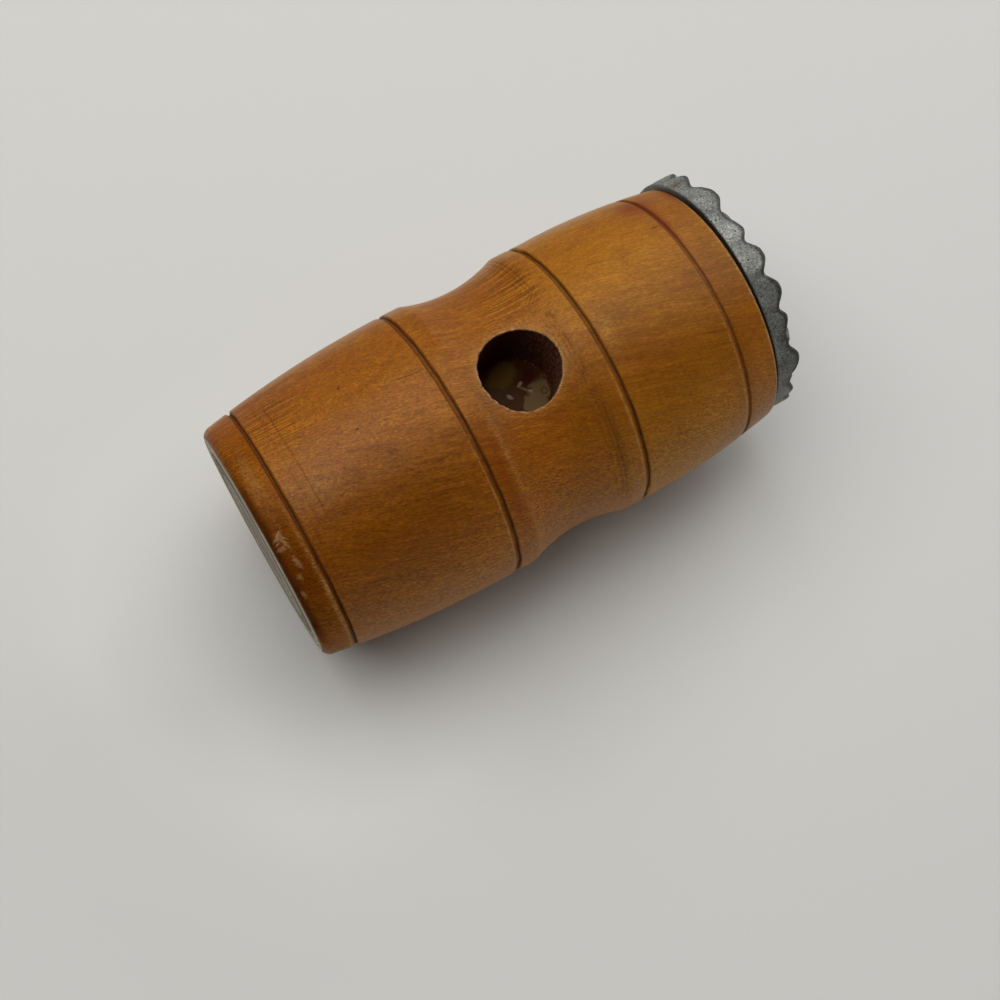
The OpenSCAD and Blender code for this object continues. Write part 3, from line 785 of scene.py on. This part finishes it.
def cast_metal(c):
    """Sand-cast aluminium gone dull with age. The sand leaves a pitted, faintly sparkling skin, and tarnish and kitchen
    grime darken its hollows and its edges. Painted shade darkens its rim, its lower side and its back edge as well."""
    material, tree = new_material("tarnished cast aluminium")
    place = add(tree, "ShaderNodeTexCoord").outputs["Object"]
    # Sand grains 0.35 mm across, and clouds of tarnish 6 mm across
    sand = add(tree, "ShaderNodeTexNoise", {"Vector": place, "Scale": 2800, "Detail": 3, "Roughness": 0.65})
    cloud = add(tree, "ShaderNodeTexNoise", {"Vector": place, "Scale": 170, "Detail": 3})
    pits = add(tree, "ShaderNodeTexVoronoi", {"Vector": place, "Scale": 900})
    pit = add(tree, "ShaderNodeMapRange", {"Value": pits.outputs["Distance"], "From Min": 0.08, "From Max": 0.26,
                                           "To Min": 0.15})
    tone = add(tree, "ShaderNodeMath", {0: sand.outputs["Fac"], 1: 0.6}, operation="MULTIPLY")
    tone = add(tree, "ShaderNodeMath", {0: cloud.outputs["Fac"], 1: 0.4, 2: tone.outputs[0]}, operation="MULTIPLY_ADD")
    skin = add(tree, "ShaderNodeValToRGB", {"Fac": tone.outputs[0]}, ramp=[
        (0.36, c.cast_dark), (0.52, c.cast), (0.7, c.cast_light)])
    skin = add(tree, "ShaderNodeMixRGB", {"Fac": pit.outputs[0], "Color1": c.grime_and_shade, "Color2": skin.outputs[0]})
    # Grime and painted shade, thinned by the cloudy tarnish
    grime_and_shade = add(tree, "ShaderNodeAttribute", attribute_name="grime_and_shade").outputs["Fac"]
    uneven = add(tree, "ShaderNodeMath", {0: cloud.outputs["Fac"], 1: 0.9, 2: 0.5}, operation="MULTIPLY_ADD")
    grime_and_shade = add(tree, "ShaderNodeMath", {0: grime_and_shade, 1: uneven.outputs[0]}, operation="MULTIPLY", use_clamp=True)
    skin = add(tree, "ShaderNodeMixRGB", {"Fac": grime_and_shade.outputs[0], "Color1": skin.outputs[0], "Color2": c.grime_and_shade})
    # One stain of rust high on the rim, 2 mm across
    near = add(tree, "ShaderNodeMapping", {
        "Vector": place, "Location": (0.0502, 0.0203, 0.0466), "Scale": (0.0014, 0.0011, 0.0014)}, vector_type="TEXTURE")
    near = add(tree, "ShaderNodeVectorMath", {0: near.outputs[0]}, operation="LENGTH")
    near = add(tree, "ShaderNodeMath", {0: sand.outputs["Fac"], 1: 1.6, 2: near.outputs["Value"]}, operation="MULTIPLY_ADD")
    stain = add(tree, "ShaderNodeMapRange", {"Value": near.outputs[0], "From Min": 2.0, "From Max": 1.2, "To Max": 0.75})
    skin = add(tree, "ShaderNodeMixRGB", {"Fac": stain.outputs[0], "Color1": skin.outputs[0], "Color2": c.rust})
    rough = add(tree, "ShaderNodeMapRange", {"Value": sand.outputs["Fac"], "From Min": 0.3, "From Max": 0.7,
                                             "To Min": 0.62, "To Max": 0.42})
    height = add(tree, "ShaderNodeMath", {0: sand.outputs["Fac"], 1: pit.outputs[0]}, operation="ADD")
    bump = add(tree, "ShaderNodeBump", {"Height": height.outputs[0], "Strength": 0.5, "Distance": 0.0001})
    shader = add(tree, "ShaderNodeBsdfPrincipled", {
        "Base Color": skin.outputs[0], "Metallic": 0.7, "Roughness": rough.outputs[0], "Normal": bump.outputs[0]})
    add(tree, "ShaderNodeOutputMaterial", {"Surface": shader.outputs[0]})
    return material


def old_steel(c):
    """A plain steel wood screw, wiped and dulled, with rust in its slot and round its edge."""
    material, tree = new_material("dull steel with rust")
    place = add(tree, "ShaderNodeTexCoord").outputs["Object"]
    # Turning marks 0.2 mm apart round the head, and rust blooms 1.5 mm across
    rust = add(tree, "ShaderNodeTexNoise", {"Vector": place, "Scale": 650, "Detail": 4, "Roughness": 0.6})
    fine = add(tree, "ShaderNodeTexNoise", {"Vector": place, "Scale": 5000, "Detail": 2})
    bloom = add(tree, "ShaderNodeMapRange", {"Value": rust.outputs["Fac"], "From Min": 0.5, "From Max": 0.62})
    skin = add(tree, "ShaderNodeMixRGB", {"Fac": bloom.outputs[0], "Color1": c.steel, "Color2": linear("#5b3620")})
    metal = add(tree, "ShaderNodeMapRange", {"Value": bloom.outputs[0], "To Min": 0.9, "To Max": 0.1})
    rough = add(tree, "ShaderNodeMapRange", {"Value": bloom.outputs[0], "To Min": 0.42, "To Max": 0.85})
    bump = add(tree, "ShaderNodeBump", {"Height": fine.outputs["Fac"], "Strength": 0.4, "Distance": 0.00005})
    shader = add(tree, "ShaderNodeBsdfPrincipled", {
        "Base Color": skin.outputs[0], "Metallic": metal.outputs[0], "Roughness": rough.outputs[0],
        "Normal": bump.outputs[0]})
    add(tree, "ShaderNodeOutputMaterial", {"Surface": shader.outputs[0]})
    return material


# Glue
def glue_mesh(s):
    """A thin uneven film that climbs the socket's wall a little, and the zones where it is pale or olive."""
    turns = 160
    angle = np.arange(turns) / turns * 2 * math.pi
    floor_z = AXIS_Z + BELLY_R - s.waist_deep - s.socket_deep
    points, faces, previous = [], [], None
    zones = {"film": [], "pale": [], "line": [], "blotch": []}
    shares = np.concatenate([np.linspace(0.03, 0.93, 40), (0.96, 0.98)])

    def zone(here, x, y, half_l, half_w, slant, ragged=0.5, soft=0.1):
        c, d = math.cos(math.radians(slant)), math.sin(math.radians(slant))
        u, v = here[:, 0] - x, here[:, 1] - y
        far = np.hypot((u * c + v * d) / half_l, (v * c - u * d) / half_w)
        return smooth(far + ragged * (grit(here, 0.9, 63) - 0.5), 1 + soft, 1 - soft)

    for share in shares:
        r = share * 7.85
        here = np.stack([r * np.cos(angle), r * np.sin(angle), 0 * angle], -1)
        film = zone(here, 0.2, 4.6, 3.4, 2.3, 18, 0.5, 0.3)
        pale = zone(here, 4.3, -2.5, 4.2, 2.1, 38, 0.8, 0.15)
        line = 0.4 * zone(here, 3.1, 0.05, 1.9, 0.16, -52, 0.4)
        blotch = zone(here, 5.0, 2.0, 1.7, 1.3, 30, 0.8, 0.4)
        # A dark ring where a bubble burst
        bubble = np.hypot(here[:, 0] - 6.3, here[:, 1] + 1.9)
        pale = pale * (1 - 0.8 * np.exp(-((bubble - 0.6) / 0.17) ** 2))
        z = floor_z + 0.06 + 0.14 * np.clip(grit(here, 3.4, 61) - 0.3, 0, 1) + 0.03 * grit(here, 1.1, 62)
        z += 0.08 * film + 0.12 * pale + 0.06 * max(share - 0.86, 0) / 0.12
        # Small beads of glue, with painted glints on them
        for bx, by, half_l, half_w, slant in ((2.8, 1.6, 0.45, 0.3, 20), (-0.3, 0.1, 0.75, 0.4, -60),
                                              (3.9, -0.6, 0.5, 0.22, -40)):
            glint_bead = zone(here, bx, by, half_l, half_w, slant, 0.7)
            line = np.maximum(line, 0.6 * glint_bead)
            z += 0.12 * glint_bead
        block = np.stack([WAIST_X + s.socket_off + here[:, 0], here[:, 1], z], -1)
        first = len(points) * turns
        points.append(block)
        for name, values in (("film", film), ("pale", pale), ("line", line), ("blotch", blotch)):
            zones[name].append(values)
        row = np.arange(first, first + turns)
        if previous is None:
            faces.append(tuple(row))
        else:
            faces.extend(strip(previous, row))
        previous = row
    block = points[-1].copy()
    block[:, 2] = floor_z
    points.append(block)
    for values in zones.values():
        values.append(values[-1])
    row = previous + turns
    faces.extend(strip(previous, row))
    faces.append(tuple(row[::-1]))
    return np.concatenate(points), faces, {name: np.concatenate(values) for name, values in zones.items()}


def dried_glue(c):
    """Old hide glue: glossy and brown where it is thick, and crazed and pale where it is thin."""
    material, tree = new_material("dried hide glue")
    place = add(tree, "ShaderNodeTexCoord").outputs["Object"]
    # Blotches 2 mm across
    blotch = add(tree, "ShaderNodeTexNoise", {"Vector": place, "Scale": 500, "Detail": 3})
    thick = add(tree, "ShaderNodeMapRange", {"Value": blotch.outputs["Fac"], "From Min": 0.35, "From Max": 0.65,
                                             "To Max": 0.3})
    colour_now = add(tree, "ShaderNodeMixRGB", {"Fac": thick.outputs[0], "Color1": c.glue_brown,
                                                "Color2": c.glue_red}).outputs[0]
    dull = None
    for label, tint in (("blotch", c.glue_red), ("film", c.glue_film), ("pale", c.glue_pale),
                        ("line", c.glue_crust)):
        mask = add(tree, "ShaderNodeAttribute", attribute_name=label).outputs["Fac"]
        colour_now = add(tree, "ShaderNodeMixRGB", {"Fac": mask, "Color1": colour_now, "Color2": tint}).outputs[0]
        dull = mask if dull is None else add(tree, "ShaderNodeMath", {0: dull, 1: mask}, operation="MAXIMUM").outputs[0]
    rough = add(tree, "ShaderNodeMapRange", {"Value": dull, "To Min": 0.2, "To Max": 0.6})
    bump = add(tree, "ShaderNodeBump", {"Height": blotch.outputs["Fac"], "Strength": 0.3, "Distance": 0.0003})
    shader = add(tree, "ShaderNodeBsdfPrincipled", {
        "Base Color": colour_now, "Roughness": rough.outputs[0], "Normal": bump.outputs[0], "IOR": 1.52,
        "Specular IOR Level": 0.02})
    add(tree, "ShaderNodeOutputMaterial", {"Surface": shader.outputs[0]})
    return material


# Operators
class MESH_OT_tenderizer_barrel(bpy.types.Operator):
    """Builds the turned barrel with its grooves and its blind handle socket"""
    bl_idname = "mesh.tenderizer_barrel"
    bl_label = "Wooden barrel"

    def execute(self, context):
        scene = context.scene
        points, faces = barrel_mesh(scene.head_sizes)
        material = varnished_wood(scene.head_colours, scene.head_sizes)
        piece = make_piece("barrel", points, faces, material, barrel_marks(points, scene.head_sizes))
        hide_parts("wooden_head")
        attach(piece, "root")
        return {"FINISHED"}


class MESH_OT_tenderizer_plate(bpy.types.Operator):
    """Builds the cast plate with its pyramid teeth"""
    bl_idname = "mesh.tenderizer_plate"
    bl_label = "Toothed plate"

    def execute(self, context):
        scene = context.scene
        points, noise, grime_and_shade, faces = plate_mesh(scene.plate_sizes)
        piece = make_piece("cast_plate", points, faces, cast_metal(scene.head_colours), {"grime_and_shade": grime_and_shade})
        mesh = piece.data
        normals = np.empty(len(points) * 3, dtype=np.float32)
        mesh.vertex_normals.foreach_get("vector", normals)
        moved = points + normals.reshape(-1, 3) * np.minimum(noise, 0.0)[:, None]
        mesh.vertices.foreach_set("co", (moved * MM).astype(np.float32).ravel())
        mesh.update()
        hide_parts("toothed_plate")
        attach(piece, "root")
        return {"FINISHED"}


class MESH_OT_tenderizer_screw(bpy.types.Operator):
    """Gives the plate's screw its worn steel"""
    bl_idname = "mesh.tenderizer_screw"
    bl_label = "Plate screw"

    def execute(self, context):
        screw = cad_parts["plate_screw"]
        screw.data.materials.clear()
        screw.data.materials.append(old_steel(context.scene.head_colours))
        return {"FINISHED"}


class MESH_OT_tenderizer_glue(bpy.types.Operator):
    """Builds the dried glue on the socket's floor"""
    bl_idname = "mesh.tenderizer_glue"
    bl_label = "Dried glue"

    def execute(self, context):
        scene = context.scene
        points, faces, zones = glue_mesh(scene.head_sizes)
        piece = make_piece("glue_film", points, faces, dried_glue(scene.head_colours), zones)
        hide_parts("dried_glue")
        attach(piece, "root")
        return {"FINISHED"}


class SCENE_OT_tenderizer_stage(bpy.types.Operator):
    """Builds the pale floor, the soft lamps and the camera"""
    bl_idname = "scene.tenderizer_stage"
    bl_label = "Studio"

    def execute(self, context):
        scene = context.scene
        scene.view_settings.view_transform = "Standard"
        # Floor of matt paper
        mesh = bpy.data.meshes.new("floor")
        mesh.from_pydata([(-2, -2, 0), (2, -2, 0), (2, 2, 0), (-2, 2, 0)], [], [(0, 1, 2, 3)])
        floor = bpy.data.objects.new("floor", mesh)
        material, tree = new_material("matt paper")
        # Painted light: the paper is painted a little paler in an arc round the plain end, just outside the shadow
        place = add(tree, "ShaderNodeTexCoord").outputs["Object"]
        spot = add(tree, "ShaderNodeSeparateXYZ", {0: place})
        painted_light_arc = add(tree, "ShaderNodeVectorMath", {0: place, 1: (-0.045, -0.005, 0)}, operation="DISTANCE")
        painted_light_arc = add(tree, "ShaderNodeMapRange", {"Value": painted_light_arc.outputs["Value"], "From Max": 0.08})
        painted_light_arc = add(tree, "ShaderNodeValToRGB", {"Fac": painted_light_arc.outputs[0]}, ramp=[
            (0.2, (0, 0, 0)), (0.45, (0.9, 0.9, 0.9)), (0.65, (1, 1, 1)), (0.8, (0.4, 0.4, 0.4)), (1.0, (0, 0, 0))])
        left = add(tree, "ShaderNodeMapRange", {"Value": spot.outputs["X"], "From Min": -0.015, "From Max": -0.045})
        front = add(tree, "ShaderNodeMapRange", {"Value": spot.outputs["Y"], "From Min": 0.05, "From Max": 0.01})
        painted_light_arc = add(tree, "ShaderNodeMath", {0: painted_light_arc.outputs[0], 1: left.outputs[0]}, operation="MULTIPLY")
        painted_light_arc = add(tree, "ShaderNodeMath", {0: painted_light_arc.outputs[0], 1: front.outputs[0]}, operation="MULTIPLY")
        paper = add(tree, "ShaderNodeMixRGB", {"Fac": painted_light_arc.outputs[0], "Color1": scene.head_colours.floor,
                                               "Color2": linear("#dadad6")})
        shader = add(tree, "ShaderNodeBsdfPrincipled", {
            "Base Color": paper.outputs[0], "Roughness": 0.8, "Specular IOR Level": 0.2})
        # Far from the head the paper fades into the pale wall behind it
        away = add(tree, "ShaderNodeVectorMath", {0: place}, operation="LENGTH").outputs["Value"]
        far = add(tree, "ShaderNodeMapRange", {"Value": away, "From Min": 0.3, "From Max": 0.62},
                  interpolation_type="SMOOTHSTEP")
        wall = add(tree, "ShaderNodeEmission", {"Color": scene.head_colours.wall, "Strength": 0.95})
        share = add(tree, "ShaderNodeMath", {0: far.outputs[0], 1: seen_rays(tree)}, operation="MULTIPLY")
        both = add(tree, "ShaderNodeMixShader", {"Fac": share.outputs[0], 1: shader.outputs[0], 2: wall.outputs[0]})
        add(tree, "ShaderNodeOutputMaterial", {"Surface": both.outputs[0]})
        mesh.materials.append(material)
        scene.collection.objects.link(floor)
        # A dim room
        world = bpy.data.worlds.new("room")
        world.use_nodes = True
        world.node_tree.nodes.clear()
        tree = world.node_tree
        sky = add(tree, "ShaderNodeBackground", {"Color": linear("#f4e8d8"), "Strength": 0.1})
        # Its wall is pale up to 15 degrees above the floor
        up = add(tree, "ShaderNodeSeparateXYZ", {0: add(tree, "ShaderNodeTexCoord").outputs["Generated"]})
        low = add(tree, "ShaderNodeMapRange", {"Value": up.outputs["Z"], "From Min": 0.5, "From Max": 0.25})
        wall = add(tree, "ShaderNodeBackground", {"Color": scene.head_colours.wall, "Strength": 0.95})
        share = add(tree, "ShaderNodeMath", {0: low.outputs[0], 1: seen_rays(tree)}, operation="MULTIPLY")
        both = add(tree, "ShaderNodeMixShader", {"Fac": share.outputs[0], 1: sky.outputs[0], 2: wall.outputs[0]})
        add(tree, "ShaderNodeOutputWorld", {"Surface": both.outputs[0]})
        scene.world = world
        # A broad window on the +Y side, a lamp overhead and a low one past the plate: direction from +X
        # towards +Y, height in degrees, size in metres and power
        for name, direction, height, size, power in (
                ("window", 113, 65, (1.4, 1.1), 14.2), ("corner", 22, 34, (1.6, 0.8), 6.8),
                ("far", 10, 58, (0.9, 0.9), 2.2)):
            lamp = bpy.data.lights.new(name, "AREA")
            lamp.shape = "RECTANGLE"
            lamp.size, lamp.size_y = size
            lamp.energy = power
            shown = bpy.data.objects.new(name, lamp)
            turn, rise = math.radians(direction), math.radians(height)
            shown.location = (1.3 * math.cos(rise) * math.cos(turn), 1.3 * math.cos(rise) * math.sin(turn),
                              1.3 * math.sin(rise))
            shown.rotation_euler = (-shown.location).to_track_quat("-Z", "Y").to_euler()
            scene.collection.objects.link(shown)
        # The camera looks down on the head, a little from its plain end
        lens = bpy.data.cameras.new("camera")
        lens.lens = 52.96
        lens.sensor_width = 36
        lens.sensor_fit = "HORIZONTAL"
        lens.clip_start = 0.01
        camera = bpy.data.objects.new("camera", lens)
        camera.location = (-0.06493, -0.06481, 0.31198)
        camera.rotation_euler = [math.radians(a) for a in (14.0478, -4.4973, -30.6071)]
        scene.collection.objects.link(camera)
        scene.camera = camera
        return {"FINISHED"}


class VIEW3D_PT_tenderizer(bpy.types.Panel):
    """Lists the pieces that the add-on can build"""
    bl_idname = "VIEW3D_PT_tenderizer"
    bl_label = "Meat tenderizer head"
    bl_space_type = "VIEW_3D"
    bl_region_type = "UI"
    bl_category = "Tenderizer"

    def draw(self, context):
        for operator in OPERATORS:
            self.layout.operator(operator.bl_idname)


OPERATORS = (MESH_OT_tenderizer_barrel, MESH_OT_tenderizer_plate, MESH_OT_tenderizer_screw,
             MESH_OT_tenderizer_glue, SCENE_OT_tenderizer_stage)
GROUPS = {"head_sizes": HeadSizes, "plate_sizes": PlateSizes, "head_colours": HeadColours}


def register():
    for kind in (*GROUPS.values(), *OPERATORS, VIEW3D_PT_tenderizer):
        bpy.utils.register_class(kind)
    for name, kind in GROUPS.items():
        setattr(bpy.types.Scene, name, bpy.props.PointerProperty(type=kind))


def unregister():
    for name in GROUPS:
        delattr(bpy.types.Scene, name)
    for kind in (VIEW3D_PT_tenderizer, *reversed(OPERATORS), *reversed(tuple(GROUPS.values()))):
        bpy.utils.unregister_class(kind)


def main():
    register()
    bpy.ops.scene.tenderizer_stage()
    bpy.ops.mesh.tenderizer_barrel()
    bpy.ops.mesh.tenderizer_plate()
    bpy.ops.mesh.tenderizer_screw()
    bpy.ops.mesh.tenderizer_glue()


if __name__ == "__main__":
    main()
